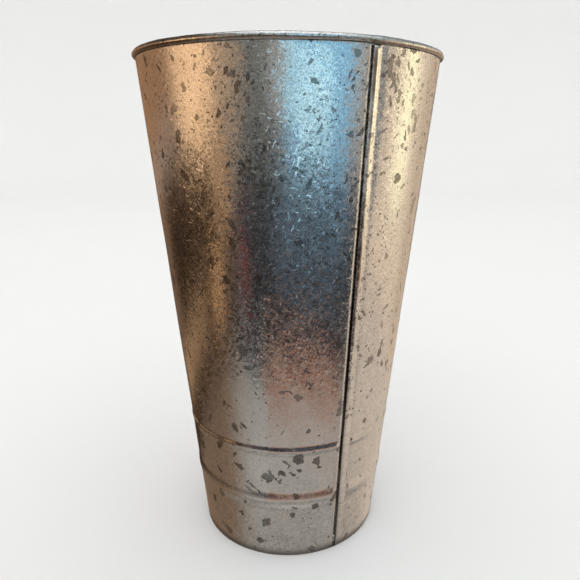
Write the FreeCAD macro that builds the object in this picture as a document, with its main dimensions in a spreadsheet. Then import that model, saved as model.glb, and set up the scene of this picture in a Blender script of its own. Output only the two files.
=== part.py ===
"""A tall tapered bucket of galvanised sheet steel, as five separate pieces.

wall_sheet    one sheet rolled to a cone and closed by a lock seam, with two beads, a curled rim and a hem
rim_wire      the round wire that the rim is curled over
base_pan      the recessed bottom, whose turned-down skirt is held in the wall's hem
base_solder   the ring of solder that seals the base inside
seam_solder   the run of solder that seals the lock seam inside

Millimetres, +Z up, origin on the floor under the centre of the base. The lock seam is on the -Y side.
"""

import FreeCAD, Part
import math
import os

import Sketcher

DIMENSIONS = [
    # name, value, what it is
    ("height", 368, "floor to the top of the rim"),
    ("base_radius", 69.8, "outside of the wall, carried straight down to the floor"),
    ("lean", 6.6, "degrees that the wall leans outwards"),
    ("gauge", 0.5, "thickness of the sheet"),
    ("slack", 0.05, "gap between two folded layers"),
    ("wire_radius", 1.7, "wire in the rim"),
    ("wire_gap", 1, "degrees left open between the wire's two ends"),
    ("root_bend", 1.2, "bend at the root of the curl, to the middle of the sheet"),
    ("curl_end", 72, "degrees below level where the curl's cut edge lies"),
    ("fold_radius", 0.6, "outside of the two folds at the foot of the hem"),
    ("hem_height", 6.5, "floor to the hem's cut edge, inside the skirt"),
    ("pan_height", 9, "floor to the top of the base"),
    ("pan_corner", 2, "outside of the base's turned-down corner"),
    ("solder_rise", 1.6, "how far the solder climbs the wall above the base"),
    ("solder_reach", 4, "how far the solder reaches in from the base's corner"),
    ("solder_root", 0.4, "how far the solder runs down beside the skirt, past the base's corner"),
    ("bead_radius", 6, "outside of a bead's section"),
    ("bead_height", 0.55, "how far a bead stands out of the wall"),
    ("lower_bead", 48.5, "floor to the middle of the lower bead"),
    ("upper_bead", 90.5, "floor to the middle of the upper bead"),
    ("bead_undercut", 1.4, "where a bead's groove ends inside, in sheet thicknesses past the wall's face"),
    ("bead_break", 13, "degrees round the wall, across the seam, that the beads leave plain"),
    ("seam_width", 6, "lock seam, from its open edge to its shoulder"),
    ("seam_foot", 1.2, "floor to the bottom of the lock seam"),
    ("seam_below_rim", 5.4, "top of the rim to the top of the lock seam"),
    ("joint_width", 8.6, "opening in the plain wall that the seam's folds close"),
    ("joint_foot", 12, "floor to the bottom of that opening"),
    ("joint_below_rim", 7.5, "top of the rim to the top of that opening"),
    ("tail", 1.2, "how far each fold runs on inside the wall beyond that opening"),
    ("inset", 0.05, "how much thinner than the sheet those tails are, on each side"),
    ("drop", 0.11, "how far the round wall falls away at the edge of that opening"),
    ("shoulder_radius", 0.8, "outside of the seam's shoulder"),
    ("seam_bend", 0.6, "outside of the seam's other folds"),
    ("run_width", 1.1, "seam solder, to each side of the groove that it fills"),
    ("run_height", 0.25, "how far the seam solder stands in from the wall"),
    ("run_gap", 0.4, "gap between the seam solder and what is above and below it"),
]

doc = FreeCAD.newDocument("bucket")
sheet = doc.addObject("Spreadsheet::Sheet", "Dims")


def fill_sheet():
    """Writes the driving dimensions, each with its own alias."""
    for row, (name, value, meaning) in enumerate(DIMENSIONS, start=1):
        sheet.set(f"A{row}", name)
        sheet.set(f"B{row}", str(value))
        sheet.set(f"C{row}", meaning)
        sheet.setAlias(f"B{row}", name)
    doc.recompute()


# Expressions. Every size below is one of these, so that it follows the sheet.

TAN = "tan(Dims.lean * 1deg)"
COS = "cos(Dims.lean * 1deg)"
SIN = "sin(Dims.lean * 1deg)"
CURL_RADIUS = "(Dims.wire_radius + Dims.slack + Dims.gauge)"  # outside of the curl
WRAP_RADIUS = "(Dims.wire_radius + Dims.slack + Dims.gauge / 2)"  # middle of its sheet
WIRE_UP = f"(Dims.height - {CURL_RADIUS})"


def wall_radius(depth, up):
    """Radius at a height, at a depth in from the wall's outside, measured square to the wall."""
    return f"(Dims.base_radius + ({up}) * {TAN} - ({depth}) / {COS})"


WIRE_OUT = wall_radius("Dims.gauge / 2", WIRE_UP)  # the wire sits over the middle of the sheet
ROOT_BELOW = f"sqrt({WRAP_RADIUS} ^ 2 + 2 * {WRAP_RADIUS} * Dims.root_bend)"


def curl_root(depth):
    """Where the straight wall ends below the curl, at a depth in from the wall's outside."""
    beyond = f"(Dims.gauge / 2 - {depth})"
    out = f"({WIRE_OUT} - {ROOT_BELOW} * {SIN} + {beyond} * {COS})"
    up = f"({WIRE_UP} - {ROOT_BELOW} * {COS} - {beyond} * {SIN})"
    return out, up


def number(expression):
    """The value that an expression has now."""
    found = sheet.evalExpression(expression)
    return float(getattr(found, "Value", found))


# Sketches.


def new_body(name):
    body = doc.addObject("PartDesign::Body", name)
    body.Label = name
    return body


def plane_of(body, role):
    """One of a body's own origin planes."""
    return next(f for f in body.Origin.OriginFeatures if f.Role == role)


def new_sketch(body, name, role="XZ_Plane"):
    sketch = body.newObject("Sketcher::SketchObject", name)
    sketch.AttachmentSupport = (plane_of(body, role), [""])
    sketch.MapMode = "FlatFace"
    return sketch


def bind(sketch, constraint, expression):
    """Adds a constraint whose value is an expression."""
    row = sketch.addConstraint(constraint)
    sketch.setExpression(f"Constraints[{row}]", expression)


def pin(sketch, geometry, vertex, across, up):
    """Holds a point of a sketch at a place given by two expressions."""
    for kind, expression in (("DistanceX", across), ("DistanceY", up)):
        held = Sketcher.Constraint(kind, -1, 1, geometry, vertex, number(expression))
        bind(sketch, held, expression)


def join(sketch, kind, first, first_vertex, second, second_vertex):
    sketch.addConstraint(Sketcher.Constraint(kind, first, first_vertex, second, second_vertex))


def rounding(before, corner, after, radius):
    """The two ends and the middle of the arc that rounds a corner."""
    to_before = (before - corner).normalize()
    to_after = (after - corner).normalize()
    half = to_before.getAngle(to_after) / 2
    middle = corner + (to_before + to_after).normalize() * (radius / math.sin(half))
    towards = (corner - middle).normalize()
    cut = radius / math.tan(half)
    return corner + to_before * cut, corner + to_after * cut, middle + towards * radius


def outline(sketch, corners):
    """Draws a closed outline. A corner is (across, up), or (across, up, radius) where it is rounded."""
    count = len(corners)
    places = [FreeCAD.Vector(number(c[0]), number(c[1]), 0) for c in corners]
    starts, ends, arcs, marks = list(places), list(places), {}, []
    for i, corner in enumerate(corners):
        mark = sketch.addGeometry(Part.Point(places[i]), True)
        pin(sketch, mark, 1, corner[0], corner[1])
        marks.append(mark)
        if len(corner) == 3:
            before, after = places[i - 1], places[(i + 1) % count]
            ends[i], starts[i], middle = rounding(before, places[i], after, number(corner[2]))
            arcs[i] = sketch.addGeometry(Part.Arc(ends[i], middle, starts[i]), False)
    lines = [
        sketch.addGeometry(Part.LineSegment(starts[i], ends[(i + 1) % count]), False)
        for i in range(count)
    ]
    for i, corner in enumerate(corners):
        incoming, leaving = lines[i - 1], lines[i]
        if i not in arcs:
            join(sketch, "Coincident", incoming, 2, marks[i], 1)
            join(sketch, "Coincident", leaving, 1, marks[i], 1)
            continue
        for line in (incoming, leaving):
            sketch.addConstraint(Sketcher.Constraint("PointOnObject", marks[i], 1, line))
        turn = (ends[i] - places[i - 1]).cross(places[(i + 1) % count] - starts[i]).z
        first, last = (1, 2) if turn > 0 else (2, 1)
        join(sketch, "Tangent", incoming, 2, arcs[i], first)
        join(sketch, "Tangent", leaving, 1, arcs[i], last)
        bind(sketch, Sketcher.Constraint("Radius", arcs[i], number(corner[2])), corner[2])


def turned(body, sketch, name, kind="PartDesign::Revolution", left_open="0"):
    """Turns a sketch about the upright axis, adding to the body or cutting it.

    A sketch on the YZ plane can leave some degrees open, half to each side of -Y.
    """
    feature = body.newObject(kind, name)
    feature.Profile = sketch
    feature.ReferenceAxis = (sketch, ["V_Axis"])
    feature.Midplane = True
    feature.setExpression("Angle", f"(360 - {left_open}) * 1deg")
    doc.recompute()


# The wall.


def wall_and_hem(body):
    """The straight wall, folded under and back up inside itself at the foot."""
    channel = "(Dims.gauge + 2 * Dims.slack)"  # room for the base's skirt
    back = f"(Dims.gauge + {channel})"
    inmost = f"({back} + Dims.gauge)"
    floor, trough = "0", "Dims.gauge"
    sketch = new_sketch(body, "wall_profile")
    outline(
        sketch,
        [
            curl_root("0"),
            curl_root("Dims.gauge"),
            (wall_radius("Dims.gauge", trough), trough),
            (wall_radius(back, trough), trough),
            (wall_radius(back, "Dims.hem_height"), "Dims.hem_height"),
            (wall_radius(inmost, "Dims.hem_height"), "Dims.hem_height"),
            (wall_radius(inmost, floor), floor, "Dims.fold_radius"),
            (wall_radius("0", floor), floor, "Dims.fold_radius"),
        ],
    )
    turned(body, sketch, "wall_and_hem")


def curl(body):
    """The rim: the sheet bends in at the root, then wraps the wire and ends beside the wall."""
    sketch = new_sketch(body, "curl_profile")
    bend = number("Dims.root_bend")
    wrap = number(WRAP_RADIUS)
    half = number("Dims.gauge / 2")
    wire = FreeCAD.Vector(number(WIRE_OUT), number(WIRE_UP), 0)
    bend_out = f"({curl_root('Dims.gauge / 2')[0]} - Dims.root_bend * {COS})"
    bend_up = f"({curl_root('Dims.gauge / 2')[1]} + Dims.root_bend * {SIN})"
    centre = FreeCAD.Vector(number(bend_out), number(bend_up), 0)
    root = -math.radians(number("Dims.lean"))  # the direction from the bend's centre to the wall
    meet = math.atan2(wire.y - centre.y, wire.x - centre.x)
    cut = -math.radians(number("Dims.curl_end"))

    def arc(middle, radius, start, end):
        circle = Part.Circle(middle, FreeCAD.Vector(0, 0, 1), radius)
        return sketch.addGeometry(Part.ArcOfCircle(circle, start, end), False)

    outer_bend = arc(centre, bend + half, root, meet)
    inner_bend = arc(centre, bend - half, root, meet)
    against_wire = arc(wire, wrap - half, cut, meet + math.pi)
    rim_face = arc(wire, wrap + half, cut, meet + math.pi)

    def along(middle, near, far, angle):
        ray = FreeCAD.Vector(math.cos(angle), math.sin(angle), 0)
        return sketch.addGeometry(Part.LineSegment(middle + ray * near, middle + ray * far), False)

    root_line = along(centre, bend - half, bend + half, root)
    cut_edge = along(wire, wrap - half, wrap + half, cut)

    pin(sketch, outer_bend, 3, bend_out, bend_up)
    pin(sketch, against_wire, 3, WIRE_OUT, WIRE_UP)
    join(sketch, "Coincident", inner_bend, 3, outer_bend, 3)
    join(sketch, "Coincident", rim_face, 3, against_wire, 3)
    for bent, size in ((outer_bend, "+"), (inner_bend, "-")):
        expression = f"Dims.root_bend {size} Dims.gauge / 2"
        bind(sketch, Sketcher.Constraint("Radius", bent, number(expression)), expression)
    join(sketch, "Coincident", root_line, 1, inner_bend, 1)
    join(sketch, "Coincident", root_line, 2, outer_bend, 1)
    join(sketch, "Coincident", cut_edge, 1, against_wire, 1)
    join(sketch, "Coincident", cut_edge, 2, rim_face, 1)
    join(sketch, "Tangent", outer_bend, 2, against_wire, 2)
    join(sketch, "Tangent", inner_bend, 2, rim_face, 2)
    for line, middle, angle in (
        (root_line, outer_bend, "-Dims.lean * 1deg"),
        (cut_edge, against_wire, "-Dims.curl_end * 1deg"),
    ):
        sketch.addConstraint(Sketcher.Constraint("PointOnObject", middle, 3, line))
        turn = math.radians(number(angle))
        bind(sketch, Sketcher.Constraint("Angle", line, turn), angle)
    turned(body, sketch, "curl")


def bead(body, name, up):
    """A bead rolled into the wall: a low arc is added outside, then cut away one sheet deeper inside."""
    centre_depth = "(Dims.bead_radius - Dims.bead_height)"
    inner_radius = "Dims.bead_radius - Dims.gauge"
    middle_chord = f"{centre_depth} - Dims.gauge / 2"
    inside_chord = f"{centre_depth} - Dims.bead_undercut * Dims.gauge"
    for side, kind, radius, chord in (
        ("outside", "PartDesign::Revolution", "Dims.bead_radius", middle_chord),
        ("inside", "PartDesign::Groove", inner_radius, inside_chord),
    ):
        sketch = new_sketch(body, f"{name}_{side}_profile", "YZ_Plane")
        across = f"({wall_radius('0', up)} - {centre_depth} * {COS})"
        level = f"({up} + {centre_depth} * {SIN})"
        middle = FreeCAD.Vector(number(across), number(level), 0)
        half_turn = math.acos(number(chord) / number(radius))
        facing = -math.radians(number("Dims.lean"))
        circle = Part.Circle(middle, FreeCAD.Vector(0, 0, 1), number(radius))
        round_part = sketch.addGeometry(
            Part.ArcOfCircle(circle, facing - half_turn, facing + half_turn), False
        )
        arc = sketch.Geometry[round_part]
        flat_part = sketch.addGeometry(Part.LineSegment(arc.StartPoint, arc.EndPoint), False)
        pin(sketch, round_part, 3, across, level)
        bind(sketch, Sketcher.Constraint("Radius", round_part, number(radius)), radius)
        join(sketch, "Coincident", flat_part, 1, round_part, 1)
        join(sketch, "Coincident", flat_part, 2, round_part, 2)
        upright = math.radians(90) + facing
        bind(sketch, Sketcher.Constraint("Angle", flat_part, upright), "(90 - Dims.lean) * 1deg")
        held = Sketcher.Constraint("Distance", round_part, 3, flat_part, number(chord))
        bind(sketch, held, chord)
        turned(body, sketch, f"{name}_{side}", kind, "Dims.bead_break")


def joint_opening(body):
    """Opens the wall along the line where the sheet's two edges meet."""
    sketch = new_sketch(body, "joint_opening_profile")
    side, top = "Dims.joint_width / 2", "Dims.height - Dims.joint_below_rim"
    outline(
        sketch,
        [
            (f"-{side}", "Dims.joint_foot"),
            (side, "Dims.joint_foot"),
            (side, top),
            (f"-{side}", top),
        ],
    )
    before = body.Shape.Volume
    pocket = body.newObject("PartDesign::Pocket", "joint_opening")
    pocket.Profile = sketch
    pocket.Type = "ThroughAll"
    pocket.Reversed = True  # towards -Y
    doc.recompute()
    cut = before - body.Shape.Volume
    strip = number("Dims.joint_width * Dims.gauge * (Dims.height - Dims.joint_below_rim - Dims.joint_foot)")
    least, most = 0.9 * strip, 1.2 * strip  # the beads and the curve of the wall add a little
    if not least < cut < most:
        raise SystemExit(f"the joint opening cut {cut:.0f} mm3, and the strip it removes is {strip:.0f}")


def seam_sketch(body, name, foot):
    """A sketch square to the seam: X across it, -Y out of the wall, its origin on the wall's outside."""
    sketch = new_sketch(body, name, "XY_Plane")
    tilt = FreeCAD.Rotation(FreeCAD.Vector(1, 0, 0), number("Dims.lean"))
    sketch.AttachmentOffset = FreeCAD.Placement(FreeCAD.Vector(), tilt)
    sketch.setExpression(".AttachmentOffset.Base.y", f"-{wall_radius('0', foot)}")
    sketch.setExpression(".AttachmentOffset.Base.z", foot)
    sketch.setExpression(".AttachmentOffset.Rotation.Angle", "Dims.lean * 1deg")
    return sketch


def along_seam(body, sketch, foot, top):
    """Carries a sketch that is square to the seam up the wall, from one height to another."""
    pad = body.newObject("PartDesign::Pad", f"{sketch.Name}_run")
    pad.Profile = sketch
    pad.setExpression("Length", f"({top} - {foot}) / {COS}")
    doc.recompute()


SEAM_TOP = "(Dims.height - Dims.seam_below_rim)"

# The seam's four layers, from the inside out. Each is where its inner and outer face lie in a seam sketch.
PITCH = "(Dims.gauge + Dims.slack)"
LAYERS = [(f"(Dims.gauge - {n} * {PITCH})", f"-{n} * {PITCH}") for n in range(4)]
OPEN_EDGE = "(-Dims.seam_width / 2)"
FOLD_EDGE = f"(Dims.seam_width / 2 - {PITCH})"  # where the inner edge folds back
TAIL_END = "(Dims.joint_width / 2 + Dims.tail)"
TAIL_OUT = "(Dims.drop + Dims.inset)"
TAIL_IN = "(Dims.drop + Dims.gauge - Dims.inset)"


def inner_fold(body):
    """The edge from the -X side: it runs under the seam, then folds out and back over the other's hook."""
    hidden, face = LAYERS[0]
    back_under, back_over = LAYERS[2]
    sketch = seam_sketch(body, "inner_fold", "Dims.seam_foot")
    outline(
        sketch,
        [
            (f"-{TAIL_END}", TAIL_IN),
            (FOLD_EDGE, hidden, "Dims.seam_bend"),
            (FOLD_EDGE, back_over),
            (f"({OPEN_EDGE} + {PITCH})", back_over),
            (f"({OPEN_EDGE} + {PITCH})", back_under),
            (f"({FOLD_EDGE} - Dims.gauge)", back_under),
            (f"({FOLD_EDGE} - Dims.gauge)", face),
            (f"-{TAIL_END}", TAIL_OUT),
        ],
    )
    along_seam(body, sketch, "Dims.seam_foot", SEAM_TOP)


def outer_fold(body):
    """The edge from the +X side: it steps out over the seam, then folds in and back as a hook."""
    hidden, face = LAYERS[0]
    hook_under, hook_over = LAYERS[1]
    top_under, top_over = LAYERS[3]
    step_in, step_out = f"({FOLD_EDGE} + Dims.slack)", f"({FOLD_EDGE} + {PITCH})"
    hook_end = f"({FOLD_EDGE} - Dims.gauge - Dims.slack)"
    sketch = seam_sketch(body, "outer_fold", "Dims.seam_foot")
    outline(
        sketch,
        [
            (TAIL_END, TAIL_OUT),
            (f"({step_out} + Dims.gauge)", face),
            (step_out, top_over, "Dims.shoulder_radius"),
            (OPEN_EDGE, top_over, "Dims.seam_bend"),
            (OPEN_EDGE, hook_under, "Dims.seam_bend"),
            (hook_end, hook_under),
            (hook_end, hook_over),
            (f"({OPEN_EDGE} + Dims.gauge)", hook_over),
            (f"({OPEN_EDGE} + Dims.gauge)", top_under),
            (step_in, top_under),
            (step_in, hidden, "Dims.seam_bend"),
            (TAIL_END, TAIL_IN),
        ],
    )
    along_seam(body, sketch, "Dims.seam_foot", SEAM_TOP)


def wall_sheet():
    body = new_body("wall_sheet")
    wall_and_hem(body)
    curl(body)
    bead(body, "lower_bead", "Dims.lower_bead")
    bead(body, "upper_bead", "Dims.upper_bead")
    joint_opening(body)
    inner_fold(body)
    outer_fold(body)
    return body


# The other pieces.


def rim_wire():
    """The rim's wire, bent round with its two ends meeting at the seam."""
    body = new_body("rim_wire")
    sketch = new_sketch(body, "wire_section", "YZ_Plane")
    middle = FreeCAD.Vector(number(WIRE_OUT), number(WIRE_UP), 0)
    circle = Part.Circle(middle, FreeCAD.Vector(0, 0, 1), number("Dims.wire_radius"))
    section = sketch.addGeometry(circle, False)
    pin(sketch, section, 3, WIRE_OUT, WIRE_UP)
    bind(sketch, Sketcher.Constraint("Radius", section, number("Dims.wire_radius")), "Dims.wire_radius")
    turned(body, sketch, "wire_ring", left_open="Dims.wire_gap")
    return body


PAN_DEPTH = "(Dims.gauge + Dims.slack)"  # the skirt's outside, in from the wall's
PAN_EDGE = wall_radius(PAN_DEPTH, "Dims.pan_height")


def base_pan():
    """A flat disc with its edge turned down into a skirt, which follows the wall into the hem."""
    body = new_body("base_pan")
    inside = f"({PAN_DEPTH} + Dims.gauge)"
    foot, under = "(Dims.gauge + Dims.slack)", "(Dims.pan_height - Dims.gauge)"
    sketch = new_sketch(body, "pan_profile")
    outline(
        sketch,
        [
            ("0", "Dims.pan_height"),
            ("0", under),
            (wall_radius(inside, under), under, "Dims.pan_corner - Dims.gauge"),
            (wall_radius(inside, foot), foot),
            (wall_radius(PAN_DEPTH, foot), foot),
            (PAN_EDGE, "Dims.pan_height", "Dims.pan_corner"),
        ],
    )
    turned(body, sketch, "pan")
    return body


def base_solder():
    """Solder in the groove between the base's round corner and the wall, inside."""
    body = new_body("base_solder")
    low = "(Dims.pan_height - Dims.pan_corner - Dims.solder_root)"
    high = "(Dims.pan_height + Dims.solder_rise)"
    sketch = new_sketch(body, "base_solder_profile")
    outline(
        sketch,
        [
            (wall_radius("Dims.gauge", low), low),
            (wall_radius("Dims.gauge", high), high),
            (f"({PAN_EDGE} - Dims.solder_reach)", "Dims.pan_height"),
            (PAN_EDGE, "Dims.pan_height", "Dims.pan_corner"),
            (wall_radius(PAN_DEPTH, low), low),
        ],
    )
    turned(body, sketch, "solder_ring")
    return body


def seam_solder():
    """Solder in the groove between the seam's two folds, inside, from above the base to below the rim."""
    body = new_body("seam_solder")
    foot = "(Dims.pan_height + Dims.solder_rise + Dims.run_gap)"
    top = "(Dims.height - Dims.joint_below_rim - Dims.run_gap)"
    hidden = LAYERS[0][0]
    step_in = f"({FOLD_EDGE} + Dims.slack)"
    left, right = f"({FOLD_EDGE} - Dims.run_width)", f"({step_in} + Dims.run_width)"
    rise = f"({TAIL_IN} - {hidden}) * Dims.run_width"  # each fold slopes up to its tail
    left_face = f"({hidden} + {rise} / ({TAIL_END} + {FOLD_EDGE}))"
    right_face = f"({hidden} + {rise} / ({TAIL_END} - {step_in}))"
    deep = f"({hidden} - Dims.seam_bend - Dims.slack)"
    proud = f"({hidden} + Dims.run_height)"
    sketch = seam_sketch(body, "solder", foot)
    outline(
        sketch,
        [
            (left, left_face),
            (FOLD_EDGE, hidden, "Dims.seam_bend"),
            (FOLD_EDGE, deep),
            (step_in, deep),
            (step_in, hidden, "Dims.seam_bend"),
            (right, right_face),
            (f"({step_in} + Dims.run_width / 2)", proud),
            (f"({FOLD_EDGE} - Dims.run_width / 2)", proud),
        ],
    )
    along_seam(body, sketch, foot, top)
    return body


def checked(obj):
    """Stops if an object failed to build."""
    if {"Invalid", "Error"} & set(obj.State):
        raise SystemExit(f"{obj.Name} failed: {obj.State}")
    return obj


def main():
    fill_sheet()
    bodies = [wall_sheet(), rim_wire(), base_pan(), base_solder(), seam_solder()]
    doc.recompute()
    for obj in doc.Objects:
        checked(obj)
    os.makedirs("parts", exist_ok=True)
    for body in bodies:
        shape = body.Shape
        if shape.isNull() or not shape.isValid() or len(shape.Solids) != 1:
            raise SystemExit(f"{body.Label} is not one valid solid")
        shape.exportStep(f"parts/{body.Label}.step")
        print(f"{body.Label}: {shape.Volume:.0f} mm3")


main()
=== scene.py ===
"""The looks of a tall galvanised bucket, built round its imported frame.

The wall is one skin: a sheet section swept round the axis, with its beads, lock seam, curled rim and hem in
the mesh. The base, the solder and the wire are pieces of their own. Metres, +Z up, the seam on the -Y side.
"""

import math

import bpy
import numpy as np
from mathutils import Matrix, Vector


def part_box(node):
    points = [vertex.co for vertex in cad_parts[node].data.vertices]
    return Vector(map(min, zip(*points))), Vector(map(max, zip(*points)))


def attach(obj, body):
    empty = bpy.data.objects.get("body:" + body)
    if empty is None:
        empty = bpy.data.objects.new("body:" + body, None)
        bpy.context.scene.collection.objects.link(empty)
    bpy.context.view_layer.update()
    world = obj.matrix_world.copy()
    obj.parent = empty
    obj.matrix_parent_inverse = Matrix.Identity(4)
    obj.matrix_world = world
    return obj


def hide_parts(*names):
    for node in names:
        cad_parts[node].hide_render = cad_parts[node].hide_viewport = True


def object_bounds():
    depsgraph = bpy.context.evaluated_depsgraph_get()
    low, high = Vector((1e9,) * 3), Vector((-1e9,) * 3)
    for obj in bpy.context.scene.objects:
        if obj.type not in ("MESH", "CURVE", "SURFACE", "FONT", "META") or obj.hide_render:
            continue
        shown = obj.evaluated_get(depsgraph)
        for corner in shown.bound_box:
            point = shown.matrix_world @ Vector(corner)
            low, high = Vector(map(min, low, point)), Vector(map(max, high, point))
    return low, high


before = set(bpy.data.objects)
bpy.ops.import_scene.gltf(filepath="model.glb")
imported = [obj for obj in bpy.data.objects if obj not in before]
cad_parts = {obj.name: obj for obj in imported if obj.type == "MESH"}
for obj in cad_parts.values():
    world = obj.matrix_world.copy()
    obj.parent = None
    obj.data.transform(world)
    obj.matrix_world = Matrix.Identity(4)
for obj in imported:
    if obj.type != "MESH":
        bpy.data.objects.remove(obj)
cad_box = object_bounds()

MM = 0.001

# Sizes: what the frame gives, and what it doesn't show.

LEAN = math.radians(6.6)  # the wall leans outwards
GAUGE = 0.5 * MM
SLACK = 0.05 * MM  # gap between two layers
ROOT_BEND = 1.2 * MM  # bend at the root of the curl, to the middle of the sheet
CURL_END = -math.radians(72)  # where the curl's cut edge lies, from level
FOLD_RADIUS = 0.6 * MM  # outside of the hem's two folds
HEM_UP = 6.5 * MM  # the hem's cut edge, inside
PAN_CORNER = 2 * MM  # outside of the base's turned-down corner

wire_low, wire_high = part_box("rim_wire")
_, pan_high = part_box("base_pan")
WIRE_RADIUS = (wire_high.z - wire_low.z) / 2
WIRE_UP = (wire_high.z + wire_low.z) / 2
WIRE_OUT = wire_high.x - WIRE_RADIUS
WRAP = WIRE_RADIUS + SLACK + GAUGE / 2  # middle of the sheet round the wire
HEIGHT = cad_box[1].z
BASE_RADIUS = WIRE_OUT + GAUGE / 2 / math.cos(LEAN) - WIRE_UP * math.tan(LEAN)
PAN_UP = pan_high.z

# The two rolled beads: the height of the middle, half the width, and how far the middle stands out.
UPPER_BEAD = (0.246 * HEIGHT, 4.4 * MM, 0.40 * MM)
LOWER_BEAD = (0.132 * HEIGHT, 8.5 * MM, 0.66 * MM)
BEAD_BREAK = -1.0 * MM  # middle of the plain stretch that they leave across the seam
BEAD_START, BEAD_FULL = 4.4 * MM, 7.0 * MM  # from there, where they begin and where they are whole
ROW_STEP, BEAD_STEP = 3 * MM, 0.6 * MM  # between two rows of vertices up the wall, and over a bead
BEAD_SPAN = 9 * MM  # how far to each side of a bead's middle the rows are close together
ROW_GAP = 0.4 * MM  # least room between the last close row and the next

FOLD_EDGE = 3 * MM  # from the seam's middle to the open edge of its fold, on the -X side
SEAM_TOP = WIRE_UP - WRAP  # where the seam runs out under the curl
SEAM_LEAN = (-1.2 * MM, 3.2 * MM)  # how far the lock seam is off its plane, at the rim and at the floor

VIEW_AZIMUTH = math.radians(-28.5)  # the camera's, so that the seam is to its right


def wall_radius(up, depth=0.0):
    """Radius of the plain wall at a height, at a depth in from its outside."""
    return BASE_RADIUS + up * math.tan(LEAN) - depth / math.cos(LEAN)


def seam_offset(up):
    """How far the seam's own line is from x = 0 at a height: it was closed a little askew."""
    at_rim, at_floor = SEAM_LEAN
    return at_floor + (at_rim - at_floor) * up / HEIGHT


# Mesh.


def new_object(name, vertices, faces, material):
    """A smooth-shaded mesh in the scene."""
    mesh = bpy.data.meshes.new(name)
    mesh.from_pydata([tuple(v) for v in vertices], [], [tuple(f) for f in faces])
    mesh.materials.append(material)
    mesh.validate()
    mesh.update()
    mesh.shade_smooth()
    piece = bpy.data.objects.new(name, mesh)
    bpy.context.scene.collection.objects.link(piece)
    return piece


def skin(points, close_rows=False):
    """Quads over a grid of points, whose every row is a ring. Returns the vertices and the faces."""
    rows, columns = points.shape[:2]
    number = np.arange(rows * columns).reshape(rows, columns)
    if close_rows:
        number = np.vstack([number, number[:1]])
    number = np.hstack([number, number[:, :1]])
    low, high = number[:-1], number[1:]
    faces = np.stack([low[:, :-1], low[:, 1:], high[:, 1:], high[:, :-1]], axis=-1)
    return points.reshape(-1, 3), faces.reshape(-1, 4)


def capped_skin(points):
    """The same, with a face over the first ring and one over the last."""
    vertices, faces = skin(points)
    rows, ring = points.shape[:2]
    last = (rows - 1) * ring
    ends = [list(range(ring))[::-1], list(range(last, last + ring))]
    return vertices, faces.tolist() + ends


def round_axis(out, around, up):
    """Points at a radius, an angle from the -Y side and a height."""
    return np.stack(np.broadcast_arrays(out * np.sin(around), -out * np.cos(around), up), axis=-1)


def smoothstep(low, high, value):
    """Eases from 0 to 1 between low and high, or from 1 to 0 where low is the greater."""
    part = np.clip((value - low) / (high - low), 0, 1)
    return part * part * (3 - 2 * part)


def hump(value, middle, width):
    """One at the middle, falling away smoothly on both sides."""
    return np.exp(-(((value - middle) / width) ** 2))


def ripple(around, up, seed, waves=9):
    """A smooth random height, mostly between -1 and 1, from waves that close round the axis."""
    random = np.random.default_rng(seed)
    total = np.zeros(np.broadcast(around, up).shape)
    for _ in range(waves):
        turns = random.integers(1, 8)
        half_turns = random.uniform(4, 20)  # for each metre up
        phase = random.uniform(0, 2 * math.pi)
        total = total + np.sin(turns * around + half_turns * math.pi * up + phase)
    return total / math.sqrt(waves)


# The wall's relief, all in metres outwards from the plain wall.


def bead(up, middle, reach, rise):
    """One bead: a rounded ridge that ends at its reach above and below the middle."""
    part = np.clip(np.abs(up - middle) / reach, 0, 1)
    return rise * 0.5 * (1 + np.cos(math.pi * part))


def beads(across, up):
    """The two rolled beads, which stop short of the seam."""
    clear = smoothstep(BEAD_START, BEAD_FULL, np.abs(across - BEAD_BREAK))
    return clear * (bead(up, *UPPER_BEAD) + bead(up, *LOWER_BEAD))


SEAM_SECTION = [
    # across the seam and out of the wall, in mm
    (-16.0, 0.0),
    (-7.0, 0.02),
    (-5.6, 0.0),
    (-4.1, -0.34),  # the sheet dips under the fold
    (-3.8, -0.62),  # slot
    (-2.85, -0.62),
    (-2.7, 0.7),  # the other edge's fold
    (-2.45, 0.98),
    (-0.9, 1.04),  # flat
    (-0.1, 0.98),
    (1.2, 0.6),  # shoulder
    (2.7, 0.06),
    (3.3, -0.08),
    (4.2, -0.17),  # valley
    (7.6, 0.0),
    (16.0, 0.0),
]
SEAM_REACH = SEAM_SECTION[-1][0] * MM  # to each side of the seam, how far the wall is drawn finely

SEAM_STEPS = [
    # from, to, and the step between two columns of vertices, in mm
    (-16, -6, 0.9),
    (-6, -4.3, 0.3),
    (-4.3, -2.3, 0.1),  # over the slot and the fold's edge
    (-2.3, 4.5, 0.28),
    (4.5, 16, 0.9),
]
PLAIN_COLUMNS = 260  # columns of vertices round the rest of the wall


def seam_columns():
    """Where the columns of vertices lie beside the seam."""
    places = [np.arange(low, high, step) for low, high, step in SEAM_STEPS]
    return np.append(np.concatenate(places) * MM, SEAM_REACH)


def seam_relief(across, up):
    """The lock seam's outside, pressed flatter towards the foot and rubbed a little unevenly."""
    places, heights = np.array(SEAM_SECTION).T * MM
    relief = np.interp(across, places, heights)
    unevenly = 1 + 0.10 * np.sin(up * 61) + 0.07 * np.sin(up * 143 + 1) + 0.05 * np.sin(up * 377)
    pressed = 0.55 + 0.45 * smoothstep(0.05, 0.2, up)
    return relief * np.where(relief > 0, pressed * unevenly, 1) * smoothstep(0.0, 3 * MM, up)


def dents(around, up):
    """Slow waves in the sheet, held flatter by the rim and by the hem."""
    slow = 0.10 * MM * ripple(around, up, 4) + 0.05 * MM * ripple(3 * around, 2.3 * up, 11)
    held = smoothstep(0, 0.03, up) * smoothstep(0, 0.03, HEIGHT - up)
    return slow * (0.25 + 0.75 * held)


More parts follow.
